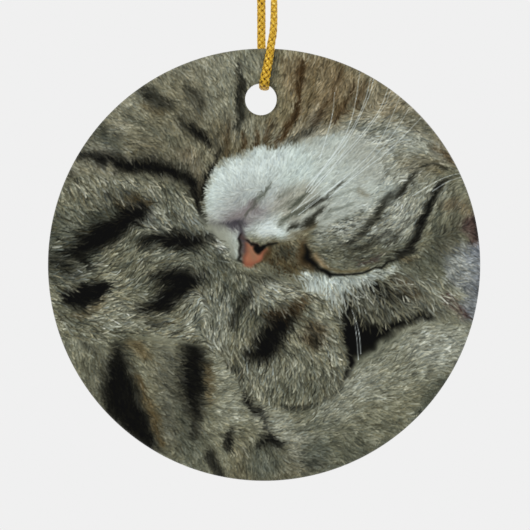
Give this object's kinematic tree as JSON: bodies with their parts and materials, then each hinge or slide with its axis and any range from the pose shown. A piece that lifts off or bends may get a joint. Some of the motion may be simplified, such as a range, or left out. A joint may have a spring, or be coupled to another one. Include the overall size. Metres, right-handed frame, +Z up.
{
  "type": "hanging ornament",
  "caption": "Round glazed ceramic disc with a printed sleeping tabby on its front, hung through a top hole on a knotted loop of gold braided cord.",
  "frame": {"origin": "the hang point, inside the top of the cord loop and right under its knot, where a hook's wire passes", "axes": "+Z up, along the hanging cord; the printed face looks towards -Y and the plain back towards +Y; +X to the right as the print is seen"},
  "size_m": [0.073, 0.0076, 0.1372],
  "materials": {
    "glaze": "glossy white glaze",
    "printed_coat": "glossy full-face print of a sleeping tabby in grey-olive, near-black, white and pink",
    "gold_braid": "metallic gold yarn, braided"
  },
  "bodies": {
    "knot": {"cord_knot": "gold_braid", "tail_left": "gold_braid", "tail_right": "gold_braid"},
    "cord": {"strand_front": "gold_braid", "strand_back": "gold_braid"},
    "sling": {"cord_bight": "gold_braid"},
    "disc": {"ceramic_disc": "glaze", "front_print": "printed_coat"}
  },
  "joints": [
    {"name": "swing", "type": "hinge", "parent": "knot", "child": "cord", "pos_m": [0, 0, 0], "axis": [1, 0, 0], "range_deg": [-30, 30]},
    {"name": "twist", "type": "hinge", "parent": "cord", "child": "sling", "pos_m": [0, 0, -0.0445], "axis": [0, 0, 1], "range_deg": [-120, 120]},
    {"name": "rock", "type": "hinge", "parent": "sling", "child": "disc", "pos_m": [0, 0, -0.055], "axis": [0, 1, 0], "range_deg": [-30, 30]}
  ]
}
